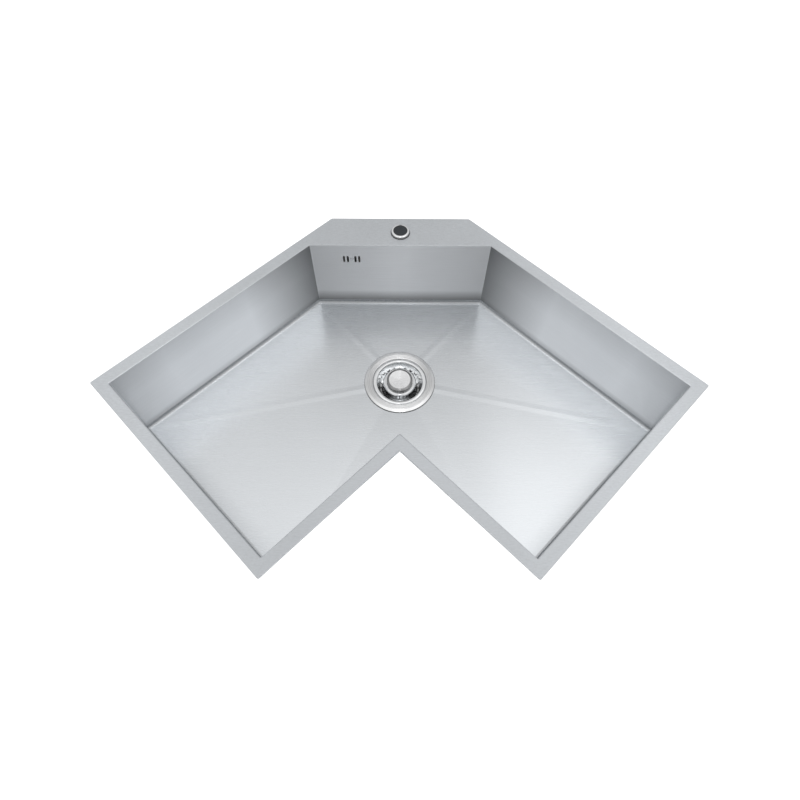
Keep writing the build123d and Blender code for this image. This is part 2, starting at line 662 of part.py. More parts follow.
bush_top = PLATEAU_HEIGHT + BASKET_SHEET
bush_head = BUSH_RADIUS + 2 * BASKET_SHEET
bush_hook = BUSH_RADIUS + 3 * BASKET_SHEET
hook_top = PLATEAU_HEIGHT - BASKET_SHEET
stem_bush = turned([
    (STEM_RADIUS + RUNNING, bush_top),
    (bush_head, bush_top),
    (bush_head, PLATEAU_HEIGHT),
    (BUSH_RADIUS, PLATEAU_HEIGHT),
    (BUSH_RADIUS, hook_top),
    (bush_hook, hook_top),
    (bush_hook, hook_top - BUSH_FLANGE),
    (BUSH_RADIUS, hook_top - BUSH_FLANGE),
    (BUSH_RADIUS, PLATEAU_HEIGHT - BUSH_LENGTH),
    (STEM_RADIUS + RUNNING, PLATEAU_HEIGHT - BUSH_LENGTH),
], 0, seat_z)
save("stem_bush", stem_bush)

knob_foot = bush_top + SEATING
stem_top = knob_foot + KNOB_HEIGHT / 3
knob_radius = plateau_radius - KNOB_SETBACK
knob_top_radius = knob_radius - KNOB_BEVEL
knob = turned([
    (0, stem_top),
    (STEM_RADIUS, stem_top),
    (STEM_RADIUS, knob_foot),
    (bush_head, knob_foot),
    (bush_head, knob_foot + KNOB_DISH),
    (knob_radius - KNOB_BEVEL / 2, knob_foot + 1.5 * KNOB_DISH),
    (knob_radius, knob_foot + 3 * KNOB_DISH),
    (knob_radius, KNOB_HEIGHT - KNOB_BEVEL / 3),
    (knob_top_radius + KNOB_BEVEL / 3, KNOB_HEIGHT),
    (knob_top_radius, KNOB_HEIGHT - KNOB_DISH / 8),
    (0, KNOB_HEIGHT - KNOB_DISH),
], [0, 0, 0, 0, 0.5, 0.8, 0.8, 1.4, 2, 2, 0], seat_z)
save("knob", knob)

seal_low = -CUP_DEPTH + SEATING
seal_top = seal_low + STOPPER_RUBBER
plate_top = seal_top + SHEET
stem_end = seal_low - STEM_END
stem = turned([
    (0, stem_end),
    (0.8 * STEM_RADIUS, stem_end),
    (STEM_RADIUS, stem_end + 0.2 * STEM_RADIUS),
    (STEM_RADIUS, plate_top),
    (STEM_COLLAR, plate_top),
    (STEM_COLLAR, plate_top + STEM_COLLAR_HEIGHT),
    (STEM_RADIUS, plate_top + STEM_COLLAR_HEIGHT),
    (STEM_RADIUS, stem_top),
    (0, stem_top),
], 0, seat_z)
save("stopper_stem", stem)

stopper_radius = outlet_radius + STOPPER_LAP
stopper_seal = turned([
    (STEM_RADIUS + THREAD, seal_low),
    (stopper_radius - STOPPER_RUBBER / 3, seal_low),
    (stopper_radius, seal_low + STOPPER_RUBBER / 3),
    (stopper_radius, seal_top),
    (STEM_RADIUS + THREAD, seal_top),
], 0, seat_z)
save("stopper_seal", stopper_seal)

stopper_plate_radius = stopper_radius - STOPPER_PLATE_SETBACK
stopper_plate = turned([
    (STEM_RADIUS + THREAD, seal_top),
    (stopper_plate_radius, seal_top),
    (stopper_plate_radius, plate_top),
    (STEM_RADIUS + THREAD, plate_top),
], 0, seat_z)
save("stopper_plate", stopper_plate)

stem_nut = extrude(RegularPolygon(STEM_NUT_RADIUS, 6), STEM_NUT_HEIGHT)
stem_nut -= Cylinder(STEM_RADIUS + THREAD, 4 * STEM_NUT_HEIGHT)
save("stem_nut", Pos(0, 0, seat_z + seal_low - STEM_NUT_HEIGHT) * stem_nut)


# ---------------------------------------------------------------- overflow

wall_out = WASTE_SETBACK + SHEET
head_inner = wall_out + OVERFLOW_GASKET


def head_block(margin, depth):
    """Block with round corners behind the slots, standing off the back wall."""
    width = OVERFLOW_HEAD_WIDTH - 2 * margin
    height = OVERFLOW_HEAD_HEIGHT - 2 * margin
    face = RectangleRounded(width, height, OVERFLOW_HEAD_CORNER - margin)
    return extrude(Plane.XZ * face, -depth)


head_place = Pos(OVERFLOW_X, head_inner, overflow_z)
boss_depth = OVERFLOW_HEAD_DEPTH - PLASTIC_WALL / 2
screw_bar = Rot(-90, 0, 0) * Cylinder(
    OVERFLOW_SCREW_RADIUS + THREAD, boss_depth - PLASTIC_WALL, align=(Align.CENTER, Align.CENTER, Align.MIN)
)
boss = Rot(-90, 0, 0) * Cylinder(
    OVERFLOW_BOSS_RADIUS, boss_depth, align=(Align.CENTER, Align.CENTER, Align.MIN)
)
spigot_top = overflow_z - OVERFLOW_HEAD_HEIGHT / 2 + PLASTIC_WALL
spigot = Cylinder(spigot_radius, SPIGOT_LENGTH + PLASTIC_WALL, align=(Align.CENTER, Align.CENTER, Align.MAX))
spigot_hole = Cylinder(spigot_bore, SPIGOT_LENGTH, align=(Align.CENTER, Align.CENTER, Align.MAX))
throat = Cylinder(PIPE_RADIUS - PIPE_WALL, 4 * PLASTIC_WALL)
overflow_head = head_place * (head_block(0, OVERFLOW_HEAD_DEPTH))
overflow_head += Pos(OVERFLOW_X, overflow_y, spigot_top) * spigot
overflow_head -= head_place * head_block(PLASTIC_WALL, OVERFLOW_HEAD_DEPTH - PLASTIC_WALL)
overflow_head += head_place * boss
overflow_head -= head_place * screw_bar
overflow_head -= Pos(OVERFLOW_X, overflow_y, spigot_top - 2 * PLASTIC_WALL) * spigot_hole
overflow_head -= Pos(OVERFLOW_X, overflow_y, spigot_top) * throat
save("overflow_head", overflow_head)

overflow_gasket = head_block(0, OVERFLOW_GASKET) - head_block(2 * PLASTIC_WALL, OVERFLOW_GASKET)
save("overflow_gasket", Pos(OVERFLOW_X, wall_out, overflow_z) * overflow_gasket)

screw_end = -SHEET - OVERFLOW_GASKET - OVERFLOW_SCREW_LENGTH
overflow_screw = turned([
    (0, screw_end),
    (OVERFLOW_SCREW_RADIUS, screw_end),
    (OVERFLOW_SCREW_RADIUS, 0),
    (OVERFLOW_SCREW_RADIUS + OVERFLOW_SCREW_HEAD, 0),
    (OVERFLOW_SCREW_RADIUS + 0.8 * OVERFLOW_SCREW_HEAD, 0.6 * OVERFLOW_SCREW_HEAD),
    (0, OVERFLOW_SCREW_HEAD),
])
save("overflow_screw", Pos(OVERFLOW_X, WASTE_SETBACK, overflow_z) * Rot(90, 0, 0) * overflow_screw)

spigot_end = spigot_top - PLASTIC_WALL - SPIGOT_LENGTH
pipe_start = (OVERFLOW_X, overflow_y, spigot_end + PIPE_INSERT)
pipe_corner = (OVERFLOW_X, overflow_y, branch_z)
pipe_reach = BRANCH_REACH - PIPE_INSERT
pipe_end = (pipe_reach * cos(radians(branch_turn)), pipe_reach * sin(radians(branch_turn)), branch_z)
pipe_line = FilletPolyline(pipe_start, pipe_corner, pipe_end, radius=[PIPE_BEND])
pipe_ring = Circle(PIPE_RADIUS) - Circle(PIPE_RADIUS - PIPE_WALL)
pipe_ring = Plane(origin=pipe_start, z_dir=(0, 0, -1)) * pipe_ring
save("overflow_pipe", sweep(pipe_ring, path=pipe_line))

slip_nut = turned([
    (spigot_radius + THREAD, 0),
    (spigot_radius + SLIP_NUT_WALL, 0),
    (spigot_radius + SLIP_NUT_WALL, SLIP_NUT_HEIGHT + SLIP_NUT_LIP),
    (PIPE_RADIUS + THREAD, SLIP_NUT_HEIGHT + SLIP_NUT_LIP),
    (PIPE_RADIUS + THREAD, SLIP_NUT_HEIGHT),
    (spigot_radius + THREAD, SLIP_NUT_HEIGHT),
])
grip = Box(SLIP_NUT_RIB, SLIP_NUT_RIB, SLIP_NUT_HEIGHT, align=(Align.CENTER, Align.CENTER, Align.MIN))
for spot in PolarLocations(spigot_radius + SLIP_NUT_WALL - SLIP_NUT_RIB / 6, SLIP_NUT_RIBS):
    slip_nut += spot * Pos(0, 0, SLIP_NUT_LIP / 2) * grip
head_nut_place = Pos(OVERFLOW_X, overflow_y, spigot_end + SLIP_NUT_HEIGHT) * Rot(180, 0, 0)
save("overflow_head_nut", head_nut_place * slip_nut)
branch_nut_place = Pos(0, 0, branch_z) * Rot(0, 0, branch_turn) * Pos(BRANCH_REACH - SLIP_NUT_HEIGHT, 0, 0)
save("overflow_branch_nut", branch_nut_place * Rot(0, 90, 0) * slip_nut)


# ---------------------------------------------------------------- tap-hole cap

cap_seat = SEATING
cap_foot = cap_seat + CAP_SEAL
collet_radius = TAP_HOLE_RADIUS - PASSING
hollow_radius = CAP_RADIUS - CAP_WALL
hollow_top = cap_foot + CAP_HOLLOW
face_radius = CAP_TOP_RADIUS - CAP_BORDER
face_low = CAP_HEIGHT - CAP_FACE
cap_shell = turned([
    (hollow_radius, cap_foot),
    (CAP_RADIUS, cap_foot),
    (CAP_RADIUS, cap_foot + CAP_EDGE),
    (CAP_RADIUS - 2 * CAP_EDGE, CAP_HEIGHT - CAP_EDGE),
    (CAP_TOP_RADIUS, CAP_HEIGHT),
    (face_radius, CAP_HEIGHT),
    (face_radius, face_low),
    (0, face_low),
    (0, hollow_top),
    (hollow_radius - CAP_EDGE, hollow_top),
    (hollow_radius, hollow_top - CAP_EDGE),
], [0, 0.3, 0.9, 2.4, 0.4, 0.2, 0, 0, 0, 0, 0], RIM_HEIGHT, 0, tap_y)
save("cap_shell", cap_shell)

cap_face = turned([
    (0, face_low),
    (face_radius, face_low),
    (face_radius, CAP_HEIGHT - CAP_FACE / 5),
    (0, CAP_HEIGHT - CAP_FACE / 5),
], 0, RIM_HEIGHT, 0, tap_y)
save("cap_face", cap_face)

cap_seal = turned([
    (hollow_radius + THREAD, cap_seat),
    (CAP_RADIUS + CAP_EDGE / 2, cap_seat),
    (CAP_RADIUS + CAP_EDGE / 2, cap_foot),
    (hollow_radius + THREAD, cap_foot),
], 0, RIM_HEIGHT, 0, tap_y)
save("cap_seal", cap_seal)

collet_bore = collet_radius - COLLET_WALL
collet_brim = cap_seat - 4 * THREAD
collet_top = hollow_top - CAP_EDGE - 4 * THREAD
slit_height = COLLET_DEPTH - COLLET_SLIT
cap_collet = turned([
    (collet_bore, -COLLET_DEPTH),
    (collet_radius - COLLET_SLIT / 3, -COLLET_DEPTH),
    (collet_radius, -COLLET_DEPTH + COLLET_SLIT),
    (collet_radius, collet_brim),
    (hollow_radius - THREAD, collet_brim),
    (hollow_radius - THREAD, collet_top),
    (collet_bore, collet_top),
], 0, RIM_HEIGHT, 0, tap_y)
for turn in (0, 90):
    slit = Rot(0, 0, turn) * Box(3 * CAP_RADIUS, COLLET_SLIT, slit_height)
    cap_collet -= Pos(0, tap_y, RIM_HEIGHT - COLLET_SLIT - COLLET_DEPTH / 2) * slit
save("cap_collet", cap_collet)
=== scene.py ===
import math

import bmesh
import bpy
from mathutils import Matrix, Vector


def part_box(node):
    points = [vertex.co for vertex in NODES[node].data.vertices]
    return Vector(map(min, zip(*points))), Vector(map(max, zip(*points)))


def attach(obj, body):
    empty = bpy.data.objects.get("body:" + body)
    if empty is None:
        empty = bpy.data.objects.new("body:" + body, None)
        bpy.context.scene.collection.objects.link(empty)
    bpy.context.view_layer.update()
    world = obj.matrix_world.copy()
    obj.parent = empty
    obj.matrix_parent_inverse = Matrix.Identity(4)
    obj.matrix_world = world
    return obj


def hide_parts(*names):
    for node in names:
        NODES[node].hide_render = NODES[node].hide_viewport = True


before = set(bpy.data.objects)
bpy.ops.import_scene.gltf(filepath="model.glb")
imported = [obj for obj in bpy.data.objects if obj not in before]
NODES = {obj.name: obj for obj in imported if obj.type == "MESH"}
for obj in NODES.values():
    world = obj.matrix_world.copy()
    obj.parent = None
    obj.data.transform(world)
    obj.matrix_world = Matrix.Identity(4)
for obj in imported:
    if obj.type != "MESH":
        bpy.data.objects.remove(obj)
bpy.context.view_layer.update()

bl_info = {
    "name": "Corner kitchen sink",
    "version": (1, 0, 0),
    "blender": (4, 5, 0),
    "location": "View3D > Sidebar > Sink",
    "description": "Dresses the corner sink, its waste, overflow and clips, and sets up the studio",
    "category": "Object",
}

# Places in metres, read from the frame where the box of a node gives them
RIM_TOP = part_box("back_wall")[1].z
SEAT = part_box("flange_gasket")[0].z
FLOOR_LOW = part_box("waste_body")[0].z
FLANGE_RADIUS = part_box("strainer_cup")[1].x
WALL_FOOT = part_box("bowl_floor")[1].z
BACK_CORNER = (0.1741, 0.200)  # where the back wall meets the rear right wall
END_CORNER = (0.4837, -0.1096)  # where the rear right wall meets the right end wall
CREASE_WIDTH = 0.010
FLOOR_EDGE = WALL_FOOT - 0.009  # where the floor begins to turn up into the walls

# Painted shade in the basket's trough: how dark it gets, and the heights and radii over which it fades
TROUGH_SHADE = 0.30
TROUGH_LIP = SEAT - 0.001  # the basket is unshaded above this height
TROUGH_DEEP = SEAT - 0.006  # and takes the full painted shade of its trough below this one
BASKET_WALL = (SEAT - 0.022, SEAT - 0.014)  # heights over which the painted shade on the basket's outer wall gives way to light
BASKET_EDGE = (0.040, 0.0425)  # radii over which it does
BASKET_SIDE = (0.035, 0.038)  # radii beyond which a wall that faces outward is the basket's outside
FLANGE_LINES = (0.0572, 0.0605, 0.0638)
KNOB_BEVEL = (0.0218, 0.0262)  # radii of the band of painted shade round the knob

BARREL_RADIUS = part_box("waste_backnut")[1].x - 0.0074  # threaded barrel of the waste body
BARREL_FOOT = SEAT - 0.0415
TAIL_RADIUS = 0.0239
TAIL_LENGTH = 0.0270
THREAD_STEPS = 48
STUD_PLATE = -0.0295  # underside of the plates that carry the studs
SCREW_HEAD_RADIUS = 0.0036
CUP_SCREW_TURNS = (30, 150, 270)
CUP_RECESS = (0.0036, 0.0009, 0.0011)  # length, width and depth of each cross recess
OVERFLOW_RECESS = (0.0026, 0.0007, 0.0007)

CAP_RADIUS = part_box("cap_shell")[1].x
CAP_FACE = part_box("cap_face")[1].x
CAP_AXIS = sum(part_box("cap_face"), Vector()) / 2
SHARP = math.radians(35)
CLIPS = 8

# Parts of the sky that differ from the rest. Each has the reach of |X| / Z over which its share of
# the light changes, from what it is to what it becomes, and the reach of Y / Z over which it comes in
SKY_ZONES = (
    ((0.08, 0.2, -0.45, 0.0), (0.54, 0.66)),  # dim gap behind the ledge
    ((0.2, 0.5, -0.12, 0.0), (-0.35, -0.6)),  # where the viewer stands
    ((0.4, 0.6, 0.0, 0.25), (-0.15, -0.3)),  # brighter to both sides of the viewer
)
FLOOR_GAP = 0.0005  # the studio floor lies this far under the waste
FLOOR_REACH = 6.0
FILM_WIDTH = 36.0
CARD_BEND = 0.030  # the card's tip lies this far in front of the notch's corner
CARD_PAST = 0.030  # and its front edge this far past the ends of the arms
CARD_SLANT = (0.0875, 0.098)  # the card is white from steeply above and clear from lower angles

WALLS = ["back", "rear_left", "end_left", "notch_left", "notch_right", "end_right", "rear_right"]
SIDES = ["rear_left", "rear_right", "end_left", "end_right"]


# ---------------------------------------------------------------- settings


class SinkSteelSettings(bpy.types.PropertyGroup):
    """Colours and finish of the bowl."""

    steel: bpy.props.FloatVectorProperty(
        name="Steel", description="Colour of the brushed steel of the walls", subtype="COLOR",
        size=4, default=(0.872, 0.89, 0.912, 1.0), min=0.0, max=1.0)
    rim: bpy.props.FloatVectorProperty(
        name="Rim", description="Colour of the duller steel of the rim", subtype="COLOR",
        size=4, default=(0.69, 0.715, 0.74, 1.0), min=0.0, max=1.0)
    floor: bpy.props.FloatVectorProperty(
        name="Floor", description="Colour of the brushed steel of the floor", subtype="COLOR",
        size=4, default=(0.70, 0.723, 0.745, 1.0), min=0.0, max=1.0)
    wall_roughness: bpy.props.FloatProperty(
        name="Wall roughness", description="Roughness of the walls", subtype="FACTOR",
        default=0.36, min=0.0, max=1.0)
    back_roughness: bpy.props.FloatProperty(
        name="Back roughness", description="Roughness of the back wall", subtype="FACTOR",
        default=0.60, min=0.0, max=1.0)
    rim_roughness: bpy.props.FloatProperty(
        name="Rim roughness", description="Roughness of the flat rim", subtype="FACTOR",
        default=0.55, min=0.0, max=1.0)
    floor_roughness: bpy.props.FloatProperty(
        name="Floor roughness", description="Roughness of the floor", subtype="FACTOR",
        default=0.27, min=0.0, max=1.0)
    crease: bpy.props.FloatProperty(
        name="Crease", description="Height that the floor's creases seem to have", subtype="DISTANCE",
        unit="LENGTH", default=0.0004, min=0.0, max=0.002)
    across: bpy.props.FloatProperty(
        name="Spread across", description="How much the grain spreads a reflection across itself",
        subtype="FACTOR", default=0.7, min=0.0, max=1.0)


class SinkWasteSettings(bpy.types.PropertyGroup):
    """Turned and threaded details of the waste and the clips."""

    groove_width: bpy.props.FloatProperty(
        name="Groove width", description="Width of each fine groove turned in the flange",
        subtype="DISTANCE", unit="LENGTH", default=0.0007, min=0.0, max=0.002)
    thread_pitch: bpy.props.FloatProperty(
        name="Thread pitch", description="Pitch of the threads on the waste body", subtype="DISTANCE",
        unit="LENGTH", default=0.0023, min=0.0005, max=0.005)
    thread_depth: bpy.props.FloatProperty(
        name="Thread depth", description="How far the threads of the waste body stand out",
        subtype="DISTANCE", unit="LENGTH", default=0.0009, min=0.0001, max=0.002)
    stud_pitch: bpy.props.FloatProperty(
        name="Stud pitch", description="Pitch of the threads on the clip studs", subtype="DISTANCE",
        unit="LENGTH", default=0.0009, min=0.0003, max=0.002)


class SinkStageSettings(bpy.types.PropertyGroup):
    """Camera and light."""

    elevation: bpy.props.FloatProperty(
        name="Elevation", description="Height angle of the camera", subtype="ANGLE",
        default=math.radians(61.05))
    azimuth: bpy.props.FloatProperty(
        name="Azimuth", description="Angle of the camera round the sink", subtype="ANGLE",
        default=math.radians(-0.31))
    roll: bpy.props.FloatProperty(
        name="Roll", description="Turn of the camera about its own axis", subtype="ANGLE",
        default=math.radians(0.53))
    distance: bpy.props.FloatProperty(
        name="Distance", description="From the camera to the point it looks at", subtype="DISTANCE",
        unit="LENGTH", default=0.95135, min=0.1)
    target: bpy.props.FloatVectorProperty(
        name="Target", description="Point that the camera looks at", subtype="TRANSLATION",
        size=3, default=(0.00029, -0.1388, 0.003))
    lens: bpy.props.FloatProperty(
        name="Lens", description="Focal length in millimetres on a 36 mm wide frame",
        default=26.134, min=5.0)
    sky: bpy.props.FloatProperty(
        name="Sky", description="Strength of the soft light from all round", default=0.82, min=0.0)
    overhead: bpy.props.FloatProperty(
        name="Overhead", description="Power of the wide softbox over the bowl", subtype="POWER",
        default=4.2, min=0.0)
    strip: bpy.props.FloatProperty(
        name="Strip", description="Power of the narrow softbox over the waste", subtype="POWER",
        default=2.1, min=0.0)
    side: bpy.props.FloatProperty(
        name="Side", description="Power of the small softbox over the right arm", subtype="POWER",
        default=1.7, min=0.0)


# ---------------------------------------------------------------- node helpers


def fill(tree, node, inputs):
    """Set the sockets of a node to values, or link them."""
    for key, value in inputs.items():
        if isinstance(value, bpy.types.NodeSocket):
            tree.links.new(value, node.inputs[key])
        else:
            node.inputs[key].default_value = value


def place(tree, kind, inputs=None, **settings):
    """One shader node with its settings, its sockets set to values or linked."""
    made = tree.nodes.new(kind)
    for name, value in settings.items():
        setattr(made, name, value)
    fill(tree, made, inputs or {})
    return made


def sums(tree, operation, *values):
    return place(tree, "ShaderNodeMath", dict(enumerate(values)), operation=operation).outputs[0]


def vector_sums(tree, operation, *values):
    made = place(tree, "ShaderNodeVectorMath", dict(enumerate(values)), operation=operation)
    return made.outputs["Value" if operation in ("LENGTH", "DOT_PRODUCT") else "Vector"]


def ramp(tree, value, low, high, to_low=0.0, to_high=1.0):
    return place(tree, "ShaderNodeMapRange", {
        "Value": value, "From Min": low, "From Max": high, "To Min": to_low, "To Max": to_high,
    }).outputs["Result"]


def mixed(tree, factor, low, high):
    """The value low where the factor is nought and high where it is one."""
    return place(tree, "ShaderNodeMix", {0: factor, 2: low, 3: high}).outputs[0]


def split(tree, vector):
    return place(tree, "ShaderNodeSeparateXYZ", {0: vector}).outputs


def scaled(tree, colour, factor):
    return place(tree, "ShaderNodeVectorMath", {0: colour, "Scale": factor}, operation="SCALE").outputs[0]


def band(tree, value, low, high, edge):
    """One between two values and nought outside them."""
    return sums(tree, "MULTIPLY", ramp(tree, value, low - edge, low),
                ramp(tree, value, high, high + edge, 1.0, 0.0))


def seen_only(tree, shade, mirrored=1.0):
    """A tone that is seen straight on, while reflections take another."""
    return mixed(tree, tree.nodes.new("ShaderNodeLightPath").outputs["Is Camera Ray"], mirrored, shade)


def new_group(name, inputs, outputs):
    """Shader node group with named sockets; each of its inputs is (name, type, default)."""
    group = bpy.data.node_groups.new(name, "ShaderNodeTree")
    for label, kind, default in inputs:
        socket = group.interface.new_socket(label, in_out="INPUT", socket_type=f"NodeSocket{kind}")
        if default is not None:
            socket.default_value = default
    for label, kind in outputs:
        group.interface.new_socket(label, in_out="OUTPUT", socket_type=f"NodeSocket{kind}")
    entry = group.nodes.new("NodeGroupInput").outputs
    result = group.nodes.new("NodeGroupOutput").inputs
    return group, entry, result


def put(group, result, name, socket):
    group.links.new(socket, result[name])


def brushed_grain():
    """Straight brush lines: long in one direction and fine across it, with a fine speckle."""
    group, entry, result = new_group(
        "brushed_grain",
        [("Vector", "Vector", None), ("Lines", "Vector", (12.0, 1800.0, 1800.0)),
         ("Speckle", "Float", 1400.0)],
        [("Tone", "Float"), ("Height", "Float")])
    lines = place(group, "ShaderNodeTexNoise", {
        "Vector": vector_sums(group, "MULTIPLY", entry["Vector"], entry["Lines"]),
        "Scale": 1.0, "Detail": 2.0, "Roughness": 0.6,
    }).outputs["Fac"]
    speckle = place(group, "ShaderNodeTexNoise", {
        "Vector": entry["Vector"], "Scale": entry["Speckle"], "Detail": 1.0, "Roughness": 0.5,
    }).outputs["Fac"]
    both = sums(group, "ADD", sums(group, "MULTIPLY", lines, 0.62), sums(group, "MULTIPLY", speckle, 0.38))
    put(group, result, "Tone", ramp(group, both, 0.3, 0.7))
    put(group, result, "Height", lines)
    return group


def turned_rings():
    """Rings left by a lathe, one tone for each radius about the vertical axis."""
    group, entry, result = new_group(
        "turned_rings",
        [("Vector", "Vector", None), ("Pitch", "Float", 0.0004)],
        [("Tone", "Float"), ("Height", "Float"), ("Outward", "Vector")])
    outward = vector_sums(group, "MULTIPLY", entry["Vector"], (1.0, 1.0, 0.0))
    turns = sums(group, "DIVIDE", vector_sums(group, "LENGTH", outward), entry["Pitch"])
    rings = place(group, "ShaderNodeTexNoise", {"W": turns, "Scale": 1.0, "Detail": 1.0},
                  noise_dimensions="1D").outputs["Fac"]
    put(group, result, "Tone", ramp(group, rings, 0.3, 0.7))
    put(group, result, "Height", rings)
    put(group, result, "Outward", outward)
    return group


def fine_mottle():
    """Soft uneven tone at a chosen size, for handling marks, moulded skin and dust."""
    group, entry, result = new_group(
        "fine_mottle",
        [("Vector", "Vector", None), ("Scale", "Float", 40.0), ("Fineness", "Float", 3.0)],
        [("Tone", "Float"), ("Height", "Float")])
    clouds = place(group, "ShaderNodeTexNoise", {
        "Vector": entry["Vector"], "Scale": entry["Scale"], "Detail": entry["Fineness"], "Roughness": 0.55,
    }).outputs["Fac"]
    put(group, result, "Tone", ramp(group, clouds, 0.3, 0.7))
    put(group, result, "Height", clouds)
    return group


def thread_rings():
    """Level ridges along the vertical axis, for threads too fine to need their slope, their valleys darkened
    as painted shade.
    """
    group, entry, result = new_group(
        "thread_rings",
        [("Vector", "Vector", None), ("Pitch", "Float", 0.0009)],
        [("Tone", "Float"), ("Height", "Float")])
    climb = sums(group, "DIVIDE", split(group, entry["Vector"])["Z"], entry["Pitch"])
    ridge = sums(group, "PINGPONG", climb, 0.5)
    put(group, result, "Height", ramp(group, ridge, 0.0, 0.5))
    put(group, result, "Tone", ramp(group, ridge, 0.05, 0.35, 0.55, 1.0))
    return group


EFFECTS = {}


def effect(tree, name, **inputs):
    """Outputs of a shared effect placed in a material with its own values."""
    if name not in EFFECTS:
        EFFECTS[name] = {"grain": brushed_grain, "rings": turned_rings, "mottle": fine_mottle,
                         "thread": thread_rings}[name]()
    made = place(tree, "ShaderNodeGroup", node_tree=EFFECTS[name])
    fill(tree, made, inputs)
    return made.outputs


def shaded(tree, colour, factor, low, high):
    """A fixed colour, darkened or lightened by a factor that runs from low to high."""
    return scaled(tree, colour[:3], ramp(tree, factor, 0.0, 1.0, low, high))


def blended(tree, first, share, second):
    """The first tone with a share of the second."""
    rest = sums(tree, "MULTIPLY", first, 1.0 - share)
    return sums(tree, "ADD", rest, sums(tree, "MULTIPLY", second, share))


def new_material(name):
    material = bpy.data.materials.new(name)
    material.use_nodes = True
    tree = material.node_tree
    shader = next(n for n in tree.nodes if n.type == "BSDF_PRINCIPLED")
    spot = tree.nodes.new("ShaderNodeTexCoord").outputs["Object"]
    return material, tree, shader, spot


def bump(tree, height, strength, distance, over=None):
    """Relief in metres, over another normal where there is one."""
    under = {} if over is None else {"Normal": over}
    return place(tree, "ShaderNodeBump", {
        "Height": height, "Strength": strength, "Distance": distance, **under}).outputs[0]


def dress(tree, shader, links, **values):
    """Links and plain values for the sockets of a Principled shader."""
    fill(tree, shader, {**links, **values})


# ---------------------------------------------------------------- materials


def half_plan(tree, parts):
    """The place in plan, folded over the middle so that both arms are alike."""
    return place(tree, "ShaderNodeCombineXYZ", {
        "X": sums(tree, "ABSOLUTE", parts["X"]), "Y": parts["Y"]}).outputs[0]


def wall_shade(tree, parts, corner_depth, foot_reach, foot_light, top_light, mirrored):
    """Painted shade of a wall: dim at the top, in the corners and at the foot where seen straight on, and
    plain where mirrored.
    """
    up = ramp(tree, parts["Z"], WALL_FOOT, RIM_TOP)
    plan = half_plan(tree, parts)
    shade = sums(tree, "MULTIPLY", ramp(tree, up, 0.0, foot_reach, foot_light, 1.0),
                 ramp(tree, up, 0.6, 1.0, 1.0, top_light))
    for corner, reach, depth in ((BACK_CORNER, 0.16, corner_depth), (END_CORNER, 0.10, 0.26)):
        away = vector_sums(tree, "LENGTH", vector_sums(tree, "SUBTRACT", plan, (*corner, 0.0)))
        near = ramp(tree, away, 0.0, reach, depth, 0.0)
        shade = sums(tree, "MULTIPLY", shade, sums(tree, "SUBTRACT", 1.0, near))
    return seen_only(tree, shade, mirrored)


def wall_steel(name, settings, roughness, **shading):
    """Brushed wall with a level grain, and its rim with a finer, duller brushing."""
    material, tree, shader, spot = new_material(name)
    parts = split(tree, spot)
    on_rim = ramp(tree, parts["Z"], RIM_TOP - 0.0016, RIM_TOP - 0.0004)
    level = effect(tree, "grain", Vector=spot, Lines=(14.0, 14.0, 2200.0), Speckle=1500.0)
    flat = effect(tree, "grain", Vector=spot, Lines=(90.0, 700.0, 1.0), Speckle=520.0)
    clouds = effect(tree, "mottle", Vector=spot, Scale=9.0)["Tone"]
    tone = blended(tree, mixed(tree, on_rim, level["Tone"], flat["Tone"]), 0.2, clouds)
    rough = mixed(tree, on_rim, roughness, settings.rim_roughness)
    # Painted light on the rim: darker over the middle and lighter out along the arms
    rim_light = ramp(tree, sums(tree, "ABSOLUTE", parts["X"]), 0.15, 0.40, 0.85, 1.05)
    shade = mixed(tree, on_rim, wall_shade(tree, parts, **shading), rim_light)
    colour = place(tree, "ShaderNodeMix", {
        0: on_rim, 6: settings.steel, 7: settings.rim}, data_type="RGBA").outputs[2]
    spread = mixed(tree, on_rim, 0.07, 0.12)
    grain = ramp(tree, tone, 0.0, 1.0, sums(tree, "SUBTRACT", 1.0, spread), sums(tree, "ADD", 1.0, spread))
    dress(tree, shader, {
        "Base Color": scaled(tree, scaled(tree, colour, shade), grain),
        "Roughness": sums(tree, "ADD", rough, ramp(tree, tone, 0.0, 1.0, -0.05, 0.05)),
        "Normal": bump(tree, mixed(tree, on_rim, level["Height"], flat["Height"]), 0.25, 0.00006),
        "Tangent": place(tree, "ShaderNodeCombineXYZ", {"Y": 0.05, "Z": 1.0}).outputs[0],
    }, Metallic=1.0, Anisotropic=settings.across)
    return material


def crease_ridges(tree, parts):
    """Height of the pressed creases that run from the waste to the back and outer corners."""
    plan = half_plan(tree, parts)
    height = 0.0
    for corner in (BACK_CORNER, END_CORNER):
        across = Vector((-corner[1], corner[0], 0.0)).normalized()
        off = vector_sums(tree, "DOT_PRODUCT", plan, across)
        ridge = ramp(tree, sums(tree, "ABSOLUTE", off), 0.0, CREASE_WIDTH, 1.0, 0.0)
        height = sums(tree, "MAXIMUM", height, ridge)
    return height


def floor_light(tree, spot, parts):
    """Painted shade of the floor: darker up its folded edge where seen straight on, and a painted shadow in a
    thin ring round the flange.
    """
    height = parts["Z"]
    # Painted shade on the bend and up the turned-up edge
    bend = ramp(tree, height, FLOOR_EDGE - 0.0003, FLOOR_EDGE + 0.0006, 1.0, 0.8)
    upright = ramp(tree, height, FLOOR_EDGE + 0.001, FLOOR_EDGE + 0.003, 1.0, 0.75)
    fold_shade = seen_only(tree, sums(tree, "MULTIPLY", bend, upright))
    # Painted shadow in a thin ring round the flange's edge
    radius = vector_sums(tree, "LENGTH", vector_sums(tree, "MULTIPLY", spot, (1.0, 1.0, 0.0)))
    flange_shadow = band(tree, radius, FLANGE_RADIUS - 0.0004, FLANGE_RADIUS + 0.0009, 0.0005)
    return sums(tree, "MULTIPLY", fold_shade, ramp(tree, flange_shadow, 0.0, 1.0, 1.0, 0.4))


